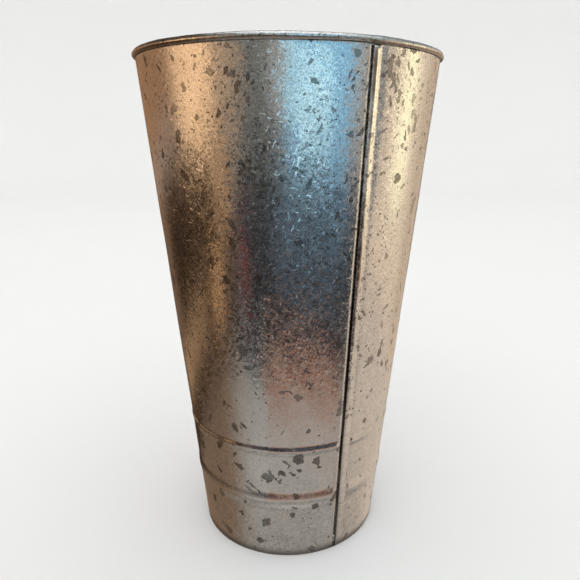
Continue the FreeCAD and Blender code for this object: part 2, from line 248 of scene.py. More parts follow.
def curl_relief(around, across, angle):
    """The rim's unevenness: a knocked lower lip beside the seam, the extra layers over it, slow waves."""
    lower = smoothstep(0.2, -0.9, np.sin(angle)) * smoothstep(-0.6, 0.4, np.cos(angle))
    knock = hump(across, -19 * MM, 9 * MM) + 0.8 * hump(across, -9 * MM, 3 * MM)
    over_seam = hump(across, 0, 6 * MM)
    waves = 0.07 * np.sin(9 * around + 1) + 0.05 * np.sin(23 * around) + 0.03 * np.sin(57 * around)
    return (waves - 0.62 * knock * lower + 0.18 * over_seam) * MM


def wall_relief(kinds, radius, around, across, up):
    """How far each point of the wall stands off its section, by the kind of its row."""
    on_wall = dents(around, up) + beads(across, up)
    on_wall = on_wall * (1 - smoothstep(SEAM_TOP - 14 * MM, SEAM_TOP - 2 * MM, up))
    seam = seam_relief(across, up) * smoothstep(SEAM_TOP + 0.4 * MM, SEAM_TOP - 1.2 * MM, up)
    foot = smoothstep(0, 8 * MM, up)
    angle = np.arctan2(up - WIRE_UP, radius - WIRE_OUT)
    by_kind = {
        "outside": (seam + on_wall) * np.maximum(foot, 0.15),
        "inside": -on_wall * foot,
        "curl": curl_relief(around, across, angle),
    }
    relief = np.zeros_like(around)
    for kind, value in by_kind.items():
        relief[kinds == kind] = value[kinds == kind]
    return relief


# The wall's section, in rows: radius, height, and the direction out of the sheet.


def arc_rows(middle, radius, start, end, count, outward=1):
    """Rows along an arc."""
    angles = np.linspace(start, end, count)
    flat, high = np.cos(angles), np.sin(angles)
    rows = [middle[0] + radius * flat, middle[1] + radius * high, outward * flat, outward * high]
    return np.stack(rows, axis=1)


def wall_rows(low, high, depth, outward):
    """Rows up the straight wall, closer together over the beads."""
    ups = np.arange(low, high, ROW_STEP)
    for middle, _, _ in (UPPER_BEAD, LOWER_BEAD):
        near = np.arange(middle - BEAD_SPAN, middle + BEAD_SPAN, BEAD_STEP)
        away = np.abs(ups - middle) > BEAD_SPAN + ROW_GAP
        ups = np.concatenate([ups[away], near])
    ups = np.unique(np.append(ups, high))
    ones = np.ones_like(ups) * outward
    return np.stack([wall_radius(ups, depth), ups, ones * math.cos(LEAN), -ones * math.sin(LEAN)], axis=1)


def wall_section():
    """The closed section of the sheet, from the foot up the outside, round the curl and down the inside."""
    half = GAUGE / 2
    wire = (WIRE_OUT, WIRE_UP)
    below = math.sqrt(WRAP**2 + 2 * WRAP * ROOT_BEND)  # from the wire's centre down to the bend at the root
    root = (WIRE_OUT - below * math.sin(LEAN), WIRE_UP - below * math.cos(LEAN))
    bend = (root[0] - ROOT_BEND * math.cos(LEAN), root[1] + ROOT_BEND * math.sin(LEAN))
    meet = math.atan2(wire[1] - bend[1], wire[0] - bend[0])
    top = root[1]
    channel = GAUGE + 2 * SLACK  # room in the hem for the base's skirt
    inmost = 2 * GAUGE + channel
    fold_out = (wall_radius(FOLD_RADIUS) - FOLD_RADIUS / math.cos(LEAN), FOLD_RADIUS)
    fold_in = (wall_radius(FOLD_RADIUS, inmost) + FOLD_RADIUS / math.cos(LEAN), FOLD_RADIUS)
    joint = PAN_UP - 3 * MM  # where the inside's two lots of rows meet
    parts = [
        ("outside", arc_rows(fold_out, FOLD_RADIUS, -math.pi / 2, -LEAN, 6)[:-1]),
        ("outside", wall_rows(FOLD_RADIUS * (1 - math.sin(LEAN)), top, 0, 1)),
        ("hidden", arc_rows(bend, ROOT_BEND + half, -LEAN, meet, 8)[1:]),
        ("hidden", arc_rows(wire, WRAP - half, meet + math.pi, CURL_END, 40, -1)[1:]),
        ("curl", arc_rows(wire, WRAP + half, CURL_END, meet + math.pi, 56)),
        ("curl", arc_rows(bend, ROOT_BEND - half, meet, -LEAN, 8, -1)[1:]),
        ("inside", wall_rows(joint, top, GAUGE, -1)[::-1][1:]),
        ("inside", wall_rows(GAUGE, joint, GAUGE, -1)[::-1][1:]),
        ("hem", wall_rows(GAUGE, HEM_UP, GAUGE + channel, 1)),
        ("hem", wall_rows(FOLD_RADIUS, HEM_UP, inmost, -1)[::-1]),
        ("hem", arc_rows(fold_in, FOLD_RADIUS, math.pi - LEAN, 1.5 * math.pi, 6)[1:]),
    ]
    kinds = np.concatenate([[kind] * len(rows) for kind, rows in parts])
    return kinds, np.concatenate([rows for _, rows in parts])


def wall_columns(radius, up):
    """Each point's angle round the axis, and how far across from the seam's middle it is, for each row."""
    rest = np.linspace(0, 1, PLAIN_COLUMNS + 2)[1:-1]
    edge = SEAM_REACH / radius  # the angle that the fine columns reach to
    around = np.hstack([seam_columns() / radius, edge + rest * (2 * math.pi - 2 * edge)])
    turned = np.where(around > math.pi, around - 2 * math.pi, around)
    return around + seam_offset(up) / radius, turned * radius


def build_wall(material):
    """The wall: its section swept round the axis, with the relief added."""
    kinds, rows = wall_section()
    radius, ups, outwards, upwards = (rows[:, k : k + 1] for k in range(4))
    around, across = wall_columns(radius, ups)
    up = np.broadcast_to(ups, around.shape)
    relief = wall_relief(kinds, radius, around, across, up)
    points = round_axis(radius + relief * outwards, around, up + relief * upwards)
    return new_object("bucket_wall", *skin(points, close_rows=True), material)


# The other pieces.


def build_base(material):
    """The base: a disc that dips and ripples a little, with its skirt turned down into the hem."""
    outer, inner = GAUGE + SLACK, 2 * GAUGE + SLACK  # the skirt's two faces, in from the wall's outside
    foot = GAUGE + SLACK
    edge = wall_radius(PAN_UP, outer)
    corner = (edge - PAN_CORNER - 0.1 * MM, PAN_UP - PAN_CORNER)
    outs = np.concatenate([[0.2 * MM], np.arange(2 * MM, edge - PAN_CORNER - 1 * MM, 2.5 * MM)])
    over = arc_rows(corner, PAN_CORNER, math.pi / 2, 0, 8)
    under = arc_rows(corner, PAN_CORNER - GAUGE, 0, math.pi / 2, 8)
    section = [(out, PAN_UP, 1) for out in outs]  # radius, height, and whether it dips
    section += [(out, up, 0) for out, up, _, _ in over]
    section += [(wall_radius(foot, depth), foot, 0) for depth in (outer, inner)]
    section += [(out, up, 0) for out, up, _, _ in under]
    section += [(out, PAN_UP - GAUGE, 1) for out in outs[::-1]]
    out, up, dips = (np.array(section)[:, k : k + 1] for k in range(3))

    around = np.linspace(0, 2 * math.pi, 181)[:-1]
    x, y = out * np.sin(around), -out * np.cos(around)
    dip = -0.5 * MM * np.cos(np.clip(out / edge, 0, 1) * math.pi / 2) ** 2
    wobble = 0.22 * MM * np.sin(x * 70 + 1) * np.cos(y * 55) + 0.1 * MM * np.sin(y * 130)
    settle = dips * smoothstep(edge - 3 * MM, edge - 22 * MM, out)
    points = round_axis(out, around, up + settle * (dip + wobble))
    return new_object("bucket_base", *capped_skin(points), material)


def build_base_solder(material):
    """Solder run round the base's corner by hand: a fillet whose edges wander."""
    around = np.linspace(0, 2 * math.pi, 361)[:-1]
    wander = 0.35 * np.sin(5 * around + 1) + 0.3 * np.sin(13 * around)
    wander = wander + 0.25 * np.sin(31 * around + 2) + 0.2 * np.sin(67 * around)
    edge = wall_radius(PAN_UP, GAUGE)
    rise = (1.5 + 0.5 * wander) * MM
    reach = (3.4 + 1.1 * wander) * MM
    rows = []
    for part in np.linspace(0, 1, 11):
        bow = 0.22 * math.sin(math.pi * part)
        up = PAN_UP + rise * (1 - part) ** 1.6 * (1 - bow) + 0.05 * MM
        rows.append((edge + (up - PAN_UP) * math.tan(LEAN) + 0.05 * MM - reach * part, up))
    rows.append((edge - 4.2 * MM, PAN_UP - 0.6 * MM))
    rows.append((edge - 0.1 * MM, PAN_UP - 2.2 * MM))
    points = np.stack([round_axis(out, around, up) for out, up in rows])
    return new_object("base_solder_run", *skin(points, close_rows=True), material)


def build_seam_solder(material):
    """Solder run up the seam inside: a low bead that swells and narrows."""
    ups = np.arange(PAN_UP + 2.2 * MM, WIRE_UP - 5.6 * MM, 1.2 * MM)
    groove = 2.45 * MM + seam_offset(ups)
    drift = 0.25 * MM * np.sin(ups * 48) + 0.1 * MM * np.sin(ups * 210)
    swell = 1 + 0.18 * np.sin(ups * 330) + 0.12 * np.sin(ups * 790 + 1) + 0.08 * np.sin(ups * 1710)
    angles = np.linspace(0, math.pi, 9)
    rings = []
    for up, middle, size in zip(ups, groove + drift, swell):
        side = np.append(middle + 1.35 * MM * size * np.cos(angles), middle)
        depth = np.append(GAUGE + 0.36 * MM * size * np.sin(angles), GAUGE - 0.2 * MM)
        rings.append(np.stack([side, -wall_radius(up, depth), np.full_like(side, up)], axis=-1))
    return new_object("seam_solder_run", *capped_skin(np.stack(rings)), material)


# Materials.


class Nodes:
    """Short names for building a node tree."""

    def __init__(self, tree):
        self.tree = tree

    def add(self, kind, **settings):
        node = self.tree.nodes.new(kind)
        for name, value in settings.items():
            setattr(node, name, value)
        return node

    def put(self, socket, value):
        """Links a socket to another, or sets its value."""
        if isinstance(value, bpy.types.NodeSocket):
            self.tree.links.new(value, socket)
        elif value is not None:
            socket.default_value = value

    def math(self, operation, first, second=None, third=None, clamp=False):
        node = self.add("ShaderNodeMath", operation=operation, use_clamp=clamp)
        for socket, value in zip(node.inputs, (first, second, third)):
            self.put(socket, value)
        return node.outputs[0]

    def vector(self, operation, first, second=None, scale=None):
        node = self.add("ShaderNodeVectorMath", operation=operation)
        self.put(node.inputs[0], first)
        self.put(node.inputs[1], second)
        self.put(node.inputs[3], scale)
        return node.outputs["Value" if operation == "DOT_PRODUCT" else "Vector"]

    def step(self, value, low, high, to_low=0.0, to_high=1.0):
        """Eases from one value to another while the input goes from low to high."""
        node = self.add("ShaderNodeMapRange", interpolation_type="SMOOTHSTEP")
        for socket, given in zip(node.inputs, (value, low, high, to_low, to_high)):
            self.put(socket, given)
        return node.outputs[0]

    def mix(self, factor, first, second):
        node = self.add("ShaderNodeMix", data_type="RGBA")
        self.put(node.inputs[0], factor)
        for socket, value in ((node.inputs[6], first), (node.inputs[7], second)):
            self.put(socket, (*value, 1) if isinstance(value, tuple) else value)
        return node.outputs[2]

    def noise(self, at, scale, detail=2.0, roughness=0.5, distortion=0.0):
        node = self.add("ShaderNodeTexNoise")
        for name, value in (("Vector", at), ("Scale", scale), ("Detail", detail)):
            self.put(node.inputs[name], value)
        self.put(node.inputs["Roughness"], roughness)
        self.put(node.inputs["Distortion"], distortion)
        return node

    def cells(self, at, scale):
        node = self.add("ShaderNodeTexVoronoi")
        self.put(node.inputs["Vector"], at)
        self.put(node.inputs["Scale"], scale)
        return node

    def part(self, colour, channel):
        node = self.add("ShaderNodeSeparateColor")
        self.put(node.inputs[0], colour)
        return node.outputs[channel]


def new_material(name):
    """A material, its nodes, and its shader made a metal."""
    material = bpy.data.materials.new(name)
    material.use_nodes = True
    tree = material.node_tree
    shader = next(n for n in tree.nodes if n.type == "BSDF_PRINCIPLED")
    shader.inputs["Metallic"].default_value = 1.0
    return material, Nodes(tree), shader


def object_place(nodes):
    """Where a point is, in mm."""
    return nodes.vector("SCALE", nodes.add("ShaderNodeTexCoord").outputs["Object"], scale=1 / MM)


def object_parts(nodes):
    """A point's X, Y and Z, in metres."""
    parts = nodes.add("ShaderNodeSeparateXYZ")
    nodes.put(parts.inputs[0], nodes.add("ShaderNodeTexCoord").outputs["Object"])
    return parts.outputs


def off_wall(nodes):
    """How far out a point is from the plain wall's outside, measured level, in metres; negative within."""
    across, back, up = object_parts(nodes)
    squares = nodes.math("ADD", nodes.math("MULTIPLY", across, across), nodes.math("MULTIPLY", back, back))
    cone = nodes.math("MULTIPLY_ADD", up, math.tan(LEAN), BASE_RADIUS)
    return nodes.math("SUBTRACT", nodes.math("SQRT", squares), cone)


def off_fold(nodes, edge):
    """How far a point is, in metres, to the +X side of a line that runs up beside the seam.

    The line is edge to the -X side of the seam's middle, and leans as the seam does.
    """
    across, _, up = object_parts(nodes)
    at_rim, at_floor = SEAM_LEAN
    line = nodes.math("MULTIPLY_ADD", up, (at_rim - at_floor) / HEIGHT, at_floor - edge)
    return nodes.math("SUBTRACT", across, line)


def blank_place(nodes):
    """Where a point of the wall lay on the flat blank that it was rolled from, in mm.

    The blank's two edges meet at the seam, so its pattern is cut off there, and matches across the back.
    """
    _, back, up = object_parts(nodes)
    turn = nodes.math("MULTIPLY", nodes.math("ARCTAN2", off_fold(nodes, FOLD_EDGE), back), math.sin(LEAN))
    slant = nodes.math("MULTIPLY_ADD", up, 1 / math.cos(LEAN), BASE_RADIUS / math.sin(LEAN))
    flat = nodes.add("ShaderNodeCombineXYZ")
    nodes.put(flat.inputs[0], nodes.math("MULTIPLY", slant, nodes.math("SINE", turn)))
    nodes.put(flat.inputs[1], nodes.math("MULTIPLY", slant, nodes.math("COSINE", turn)))
    nodes.put(flat.inputs[2], nodes.math("MULTIPLY", off_wall(nodes), 3.0))
    return nodes.vector("SCALE", flat.outputs[0], scale=1 / MM)


def shards(nodes, at, size, stretch, degrees, seed):
    """Straight-edged cells about size mm across, drawn out stretch times along one direction."""
    turned = nodes.add("ShaderNodeVectorRotate", rotation_type="Z_AXIS")
    nodes.put(turned.inputs["Vector"], nodes.vector("ADD", at, (seed, 1.7 * seed, 0.6 * seed)))
    nodes.put(turned.inputs["Angle"], math.radians(degrees))
    return nodes.cells(nodes.vector("MULTIPLY", turned.outputs[0], (1, 1 / stretch, 1)), 1 / size)


def chosen(nodes, cell, share):
    """How marked each cell is: nothing for most of them, 0.6 to 1 for the share that is chosen."""
    chance = nodes.part(cell.outputs["Color"], 0)
    among = nodes.math("GREATER_THAN", chance, nodes.math("SUBTRACT", 1.0, share))
    strength = nodes.math("MULTIPLY_ADD", nodes.part(cell.outputs["Color"], 2), 0.4, 0.6)
    return nodes.math("MULTIPLY", among, strength)


def tilt(nodes, cell, amount):
    """A small push to the normal that differs from cell to cell."""
    push = nodes.vector("SUBTRACT", cell.outputs["Color"], (0.5, 0.5, 0.5))
    return nodes.vector("SCALE", push, scale=amount)


def most(nodes, values):
    """The greatest of several values."""
    total = values[0]
    for value in values[1:]:
        total = nodes.math("MAXIMUM", total, value)
    return total


def drift(nodes, place, scale, roughness, reach):
    """A push of up to about half the reach each way, from noise."""
    push = nodes.noise(place, scale, 2.0, roughness).outputs["Color"]
    centred = nodes.vector("SUBTRACT", push, (0.5, 0.5, 0.5))
    return nodes.vector("SCALE", centred, scale=reach)


def seam_shadow_and_dirt(nodes):
    """Painted shadow and dirt in the slot beside the fold, wider and paler towards the foot; none on the rim.
    """
    _, back, up = object_parts(nodes)
    away = nodes.math("ABSOLUTE", off_fold(nodes, FOLD_EDGE + 0.3 * MM))
    ragged = nodes.noise(object_place(nodes), 0.35, 3.0, 0.6).outputs[0]
    least = nodes.step(up, 0.03, 0.22, 0.85 * MM, 0.3 * MM)
    near = nodes.math("SUBTRACT", nodes.math("MULTIPLY_ADD", ragged, 0.5 * MM, least), away)
    blur = nodes.step(up, 0.03, 0.22, -0.45 * MM, -0.14 * MM)
    shape = nodes.step(near, blur, 0.14 * MM)
    depth = nodes.step(up, 0.05, 0.22, 0.8, 0.97)
    below_rim = nodes.step(up, WIRE_UP - 3.4 * MM, WIRE_UP - 2.8 * MM, 1.0, 0.0)
    front = nodes.math("MULTIPLY", nodes.math("LESS_THAN", back, 0.0), below_rim)
    return nodes.math("MULTIPLY", nodes.math("MULTIPLY", shape, depth), front)


def sheltered(nodes):
    """How bright the zinc has stayed: much brighter on the wall's inside."""
    up = object_parts(nodes)[2]
    inside = nodes.step(off_wall(nodes), -0.45 * MM, -0.3 * MM, INSIDE_BRIGHT, 0.0)
    return nodes.math("MULTIPLY", inside, nodes.math("LESS_THAN", up, SEAM_TOP))


def curl_underside_shade(nodes):
    """Painted shade: brown darkening under the curl, from about its middle down."""
    up = object_parts(nodes)[2]
    on_curl = nodes.step(off_wall(nodes), 0.9 * MM, 1.2 * MM)
    ragged = nodes.noise(object_place(nodes), 0.5, 3.0, 0.65).outputs[0]
    edge = nodes.math("MULTIPLY_ADD", ragged, 2.0 * MM, WIRE_UP - 1.6 * MM)
    under = nodes.step(nodes.math("SUBTRACT", edge, up), -0.5 * MM, 0.7 * MM, 0.0, 0.8)
    return nodes.math("MULTIPLY", under, on_curl)


# The zinc. Colours are linear red, green and blue.

SPANGLE_DULL, SPANGLE_BRIGHT = (0.58, 0.584, 0.588), (0.78, 0.782, 0.785)
GRAIN_DULL, GRAIN_BRIGHT = (0.36, 0.36, 0.355), (0.90, 0.902, 0.905)
MOTTLE_GREY = (0.40, 0.39, 0.375)
CLOUD_GREY = (0.52, 0.51, 0.49)
STROKE_PALE = (0.93, 0.93, 0.93)
SCRATCH_PALE = (0.92, 0.92, 0.92)
FLECK_DARK = (0.065, 0.058, 0.05)
PIT_DARK = (0.15, 0.135, 0.12)
# darker towards the bottom
FOOT_BROWN = (0.10, 0.085, 0.07)
CLEAN_BRIGHT = (0.86, 0.862, 0.865)
# painted shade under the curl
LIP_BROWN = (0.15, 0.105, 0.075)
# painted shadow and dirt in the seam's slot
SEAM_BLACK = (0.022, 0.018, 0.014)

INSIDE_BRIGHT = 0.75  # how much of the clean brightness the inside has kept
RUBBED, CRISP = 0.12, 0.20  # heights: rubbed smooth below the first, crisp above the second

FLECKS = [
    # size in mm, stretch, direction, share of the cells in the crisp part, share in the rubbed part
    (2.2, 2.4, 38, 0.020, 0.008),
    (2.0, 2.3, -47, 0.020, 0.008),
    (4.0, 1.3, 10, 0.022, 0.020),
    (6.2, 1.4, -25, 0.010, 0.014),
    (1.2, 1.2, 70, 0.026, 0.005),
]
STROKE_DIRECTIONS = (62, -38)


def dark_flecks(nodes, frayed, place, crisp, mottle):
    """Dark angular flecks in several sizes, crowded in some places and sparse in others."""
    crowd = nodes.step(nodes.noise(place, 0.03, 2.0, 0.6).outputs[0], 0.36, 0.64, 0.2, 2.1)
    marks = []
    for number, (size, stretch, degrees, share, low_share) in enumerate(FLECKS, start=1):
        cell = shards(nodes, frayed, size, stretch, degrees, 31.0 * number)
        among = nodes.math("MULTIPLY_ADD", crisp, share - low_share, low_share)
        marks.append(chosen(nodes, cell, nodes.math("MULTIPLY", crowd, among)))
    inner = nodes.step(mottle, 0.36, 0.6, 0.7, 1.0)
    return nodes.math("MULTIPLY", most(nodes, marks), inner, clamp=True)


def fine_scratches(nodes, place):
    """Hairlines: where a slow, drawn-out noise passes its middle, broken up by another."""
    lines = nodes.noise(nodes.vector("MULTIPLY", place, (1, 0.45, 1)), 0.05, 1.0, 0.4, 1.2).outputs[0]
    away = nodes.math("ABSOLUTE", nodes.math("SUBTRACT", lines, 0.5))
    broken = nodes.step(nodes.noise(place, 0.06, 1.0).outputs[0], 0.56, 0.62)
    return nodes.math("MULTIPLY", nodes.step(away, 0.0012, 0.0036, 1.0, 0.0), broken)


class Marks:
    """What the zinc's colour, roughness and normal are made of."""


def zinc_marks(nodes, place):
    """Lays out the marks at a place on the sheet, in mm."""
    up = object_parts(nodes)[2]
    bent = nodes.vector("ADD", place, drift(nodes, place, 0.22, 0.5, 3.0))
    frayed = nodes.vector("ADD", bent, drift(nodes, place, 1.1, 0.6, 1.1))
    marks = Marks()
    marks.crisp = nodes.step(up, RUBBED, CRISP)
    marks.spangle = nodes.cells(frayed, 0.5)
    marks.grain = nodes.cells(frayed, 1.15)
    marks.spangle_tone = nodes.part(marks.spangle.outputs["Color"], 0)
    marks.grain_tone = nodes.part(marks.grain.outputs["Color"], 1)
    marks.grain_dull = nodes.step(nodes.part(marks.grain.outputs["Color"], 2), 0.55, 1.0, 0.0, 0.6)
    marks.cloud = nodes.noise(place, 0.028, 3.0, 0.6).outputs[0]
    marks.mottle = nodes.noise(place, 1.3, 3.0, 0.7).outputs[0]
    marks.flecks = dark_flecks(nodes, frayed, place, marks.crisp, marks.mottle)
    marks.strokes = [shards(nodes, bent, 0.75, 4.5, turn, 211.0 + turn) for turn in STROKE_DIRECTIONS]
    marks.pits = nodes.step(nodes.noise(place, 2.3, 2.0, 0.5).outputs[0], 0.66, 0.72)
    marks.scratches = fine_scratches(nodes, place)
    # darker, browner and rougher towards the bottom
    marks.foot_dirt = nodes.step(up, 0.5 * MM, 8 * MM, 0.85, 0.0)
    return marks


def zinc_colour(nodes, marks):
    brightened = nodes.math("MULTIPLY_ADD", marks.crisp, 0.65, 0.35)
    bright_grains = nodes.math("MULTIPLY", marks.grain_tone, brightened)
    dull_grains = nodes.math("MULTIPLY", marks.grain_dull, marks.crisp)
    mottled = nodes.math("MULTIPLY_ADD", marks.crisp, 0.5, 0.35)
    mottling = nodes.math("MULTIPLY", nodes.step(marks.mottle, 0.42, 0.66), mottled)
    strokes = most(nodes, [chosen(nodes, cell, 0.05) for cell in marks.strokes])
    colour = nodes.mix(marks.spangle_tone, SPANGLE_DULL, SPANGLE_BRIGHT)
    layers = [
        (bright_grains, GRAIN_BRIGHT),
        (dull_grains, GRAIN_DULL),
        (mottling, MOTTLE_GREY),
        (nodes.step(marks.cloud, 0.35, 0.7, 0.0, 0.18), CLOUD_GREY),
        (nodes.math("MULTIPLY", strokes, 0.2), STROKE_PALE),
        (nodes.math("MULTIPLY", marks.scratches, 0.5), SCRATCH_PALE),
        (nodes.math("MULTIPLY", marks.flecks, 0.92), FLECK_DARK),
        (nodes.math("MULTIPLY", marks.pits, 0.5), PIT_DARK),
        # darker towards the bottom
        (marks.foot_dirt, FOOT_BROWN),
    ]
    for amount, over in layers:
        colour = nodes.mix(amount, colour, over)
    return colour


def zinc_roughness(nodes, marks):
    rough = 0.09
    amounts = [
        (marks.spangle_tone, 0.07),
        (marks.grain_tone, 0.05),
        (marks.cloud, 0.09),
        (marks.flecks, 0.10),
        (marks.scratches, 0.10),
        (marks.foot_dirt, 0.2),
    ]
    for mark, amount in amounts:
        rough = nodes.math("MULTIPLY_ADD", mark, amount, rough, clamp=True)
    return rough


def zinc_normal(nodes, marks):
    """The facets of the spangle, the grains and the strokes, over a faint relief."""
    relief = nodes.math("MULTIPLY_ADD", marks.flecks, -0.5, nodes.math("MULTIPLY", marks.mottle, 0.4))
    bump = nodes.add("ShaderNodeBump")
    nodes.put(bump.inputs["Strength"], 0.055)
    nodes.put(bump.inputs["Distance"], 0.12 * MM)
    nodes.put(bump.inputs["Height"], relief)
    spangle_tilt = tilt(nodes, marks.spangle, nodes.math("MULTIPLY_ADD", marks.crisp, 0.018, 0.012))
    grain_tilt = tilt(nodes, marks.grain, nodes.math("MULTIPLY_ADD", marks.crisp, 0.052, 0.008))
    tilted = nodes.vector("ADD", bump.outputs[0], nodes.vector("ADD", spangle_tilt, grain_tilt))
    share = nodes.math("MULTIPLY_ADD", marks.crisp, 0.05, 0.02)
    for cell in marks.strokes:
        amount = nodes.math("MULTIPLY", chosen(nodes, cell, share), 0.16)
        tilted = nodes.vector("ADD", tilted, tilt(nodes, cell, amount))
    return nodes.vector("NORMALIZE", tilted)


def galvanised(name, on_wall):
    """Hot-dip zinc, worn semi-bright: fine spangle, dark angular flecks, pale strokes, pits, scratches."""
    material, nodes, shader = new_material(name)
    place = blank_place(nodes) if on_wall else object_place(nodes)
    marks = zinc_marks(nodes, place)
    colour = zinc_colour(nodes, marks)
    if on_wall:
        colour = nodes.mix(sheltered(nodes), colour, CLEAN_BRIGHT)
        # painted shade under the curl
        colour = nodes.mix(curl_underside_shade(nodes), colour, LIP_BROWN)
        # painted shadow and dirt in the seam's slot
        colour = nodes.mix(seam_shadow_and_dirt(nodes), colour, SEAM_BLACK)
    else:
        colour = nodes.mix(INSIDE_BRIGHT, colour, CLEAN_BRIGHT)
    nodes.put(shader.inputs["Base Color"], colour)
    nodes.put(shader.inputs["Roughness"], zinc_roughness(nodes, marks))
    nodes.put(shader.inputs["Normal"], zinc_normal(nodes, marks))
    return material


def drawn_wire():
    """Plain steel wire, gone dull in patches."""
    material, nodes, shader = new_material("drawn_wire")
    cloud = nodes.noise(object_place(nodes), 0.8, 4.0, 0.65).outputs[0]
    nodes.put(shader.inputs["Base Color"], nodes.mix(cloud, (0.22, 0.20, 0.18), (0.50, 0.49, 0.47)))
    nodes.put(shader.inputs["Roughness"], nodes.step(cloud, 0.2, 0.8, 0.35, 0.6))
    return material


def soft_solder():
    """Solder gone dull: grey, lumpy, with ripples where it froze."""
    material, nodes, shader = new_material("soft_solder")
    place = object_place(nodes)
    cloud = nodes.noise(place, 0.5, 4.0, 0.6, 0.4).outputs[0]
    speck = nodes.noise(place, 2.6, 2.0, 0.6).outputs[0]
    grey = nodes.mix(nodes.step(cloud, 0.3, 0.7), (0.34, 0.335, 0.325), (0.62, 0.62, 0.61))
    colour = nodes.mix(nodes.step(speck, 0.6, 0.72, 0.0, 0.6), grey, (0.16, 0.15, 0.14))
    nodes.put(shader.inputs["Base Color"], colour)
    nodes.put(shader.inputs["Roughness"], nodes.step(cloud, 0.25, 0.75, 0.5, 0.32))
    bump = nodes.add("ShaderNodeBump")
    nodes.put(bump.inputs["Strength"], 0.5)
    nodes.put(bump.inputs["Distance"], 0.2 * MM)
    nodes.put(bump.inputs["Height"], nodes.math("ADD", cloud, nodes.math("MULTIPLY", speck, 0.4)))
    nodes.put(shader.inputs["Normal"], bump.outputs[0])
    return material


def pale_paper():
    """The backdrop's: matt and nearly even."""
    material, nodes, shader = new_material("pale_backdrop")
    place = nodes.add("ShaderNodeTexCoord").outputs["Object"]
    cloud = nodes.noise(place, 3.0, 3.0, 0.5).outputs[0]
    nodes.put(shader.inputs["Base Color"], nodes.mix(cloud, (0.88, 0.88, 0.875), (0.90, 0.90, 0.895)))
    shader.inputs["Metallic"].default_value = 0.0
    shader.inputs["Roughness"].default_value = 0.9
    shader.inputs["Specular IOR Level"].default_value = 0.1
    return material


# The studio.


def build_backdrop():
    """A round pale sweep: a flat floor that curves up into a wall well beyond the object."""
    flat, corner, top = 3.0, 1.2, 4.0
    rows = [(out, 0.0) for out in (0.02, 0.3, 0.8, 1.6, flat)]
    for turn in np.linspace(0, math.pi / 2, 14)[1:]:
        rows.append((flat + corner * math.sin(turn), corner * (1 - math.cos(turn))))
    rows.append((flat + corner, top))
    around = np.linspace(0, 2 * math.pi, 97)[:-1]
    vertices, faces = skin(np.stack([round_axis(out, around, up) for out, up in rows]))
    faces = faces.tolist() + [list(range(len(around)))[::-1]]
    sweep = new_object("pale_sweep", vertices, faces, pale_paper())
    sweep.visible_glossy = False


ZINC_LOSS = 1.62  # what the metal soaks up, given back by the lamps
FLOOR_LIGHT = (1.2, 1.2, 1.2)  # what reaches everything but a mirror
GAP_COLOUR = "9a968f"  # between the flats

# What stands round the object, as flats and lamps seen from it. Degrees round from the camera (right is plus)
# and above level: the middle, half the size, and how far each edge fades. Later ones cover earlier ones.
SURROUNDINGS = [
    # name, round, half, fade, above, half, fade, colour, gain
    ("ceiling", 0, 400, 10, 62, 56, 12, "7f8482", 1.0),
    ("left_gloom", -110, 60, 40, 34, 30, 16, "463c33", 1.0),
    ("overhead_lamp", 25, 60, 40, 46, 14, 16, "d3dfe2", 1.0),
    ("skylight", 0, 400, 10, 90, 28, 14, "f4f4f2", 1.0),
    ("left_floor", -116, 55, 50, -60, 27.5, 4, "6a5645", 1.0),
    ("right_floor", 112, 50, 16, -60, 27, 14, "90867c", 1.0),
    ("near_floor", 0, 400, 10, -90, 41, 8, "746e67", 1.0),
    ("nadir", 0, 400, 10, -90, 28, 16, "b4b1ab", 1.0),
    ("behind", 180, 26, 16, 20, 34, 10, "262c2f", 1.0),
    ("left_dark", -105, 58, 10, -21, 12.5, 3, "2b1e14", 1.0),
    ("left_edge", -148, 16, 16, -17, 9, 6, "5e4938", 1.0),
    ("left_table", -117, 31, 16, -26.0, 2.3, 3, "8d6f53", 1.0),
    ("left_wall", -105, 58, 30, 3.5, 11.5, 12, "87654a", 1.0),
    ("left_lamp", -73, 18, 26, -1.5, 9.7, 2, "f3c697", 0.96),
    ("left_spill", -71, 7, 5, -25.2, 2.0, 2.0, "d09f70", 1.0),
    ("left_patch", -56, 8, 6, -16.8, 2.6, 2.4, "b48c68", 1.0),
    ("grey_flat", -29, 16, 14, 0, 15, 5, "646460", 1.0),
    ("lamp_spill", -42, 7, 10, -4, 7, 5, "a0866c", 1.0),
    ("dark_flat", 9, 57, 8, -26.0, 10.2, 2, "222428", 1.0),
    ("dark_middle", -24, 20, 8, -19, 5, 3, "2c2d30", 1.0),
    ("brown_step", 16, 42, 14, -37.6, 1.9, 2.0, "9a6344", 1.0),
    ("blue_shade", 21, 32, 14, -19.4, 6.0, 6, "485560", 1.0),
    ("window", 23, 24.5, 7, -3, 12.0, 5, "7db0cd", 1.0),
    ("window_left", 1, 4, 5, -4, 4, 4, "b4dde6", 1.0),
    ("window_low", 19, 14, 8, -9.0, 2.0, 3, "dcffff", 1.25),
    ("red_cloth", -41, 3.0, 2, -25.2, 0.8, 0.8, "c0392b", 1.3),
    ("right_wall", 110, 42, 4, -8, 22, 12, "cdb7a0", 1.0),
    ("right_low", 110, 42, 4, -33, 9, 10, "b1a293", 1.0),
    ("right_shade", 69, 7, 7, -3, 13, 14, "7d7c76", 1.0),
    ("right_lamp", 101, 9, 14, -4, 9, 9, "fff2c8", 1.14),
    ("right_edge", 140, 14, 14, -8, 18, 9, "b09b86", 1.0),
]


def tone(text, gain=1.0):
    """A linear colour from an sRGB hex code."""
    values = [int(text[k : k + 2], 16) / 255 for k in (0, 2, 4)]
    return tuple(gain * (v / 12.92 if v <= 0.04045 else ((v + 0.055) / 1.055) ** 2.4) for v in values)


def within(nodes, distance, half, fade):
    """One within half of the middle and nothing beyond, with a soft edge fade wide."""
    return nodes.step(nodes.math("ABSOLUTE", distance), half - fade / 2, half + fade / 2, 1.0, 0.0)


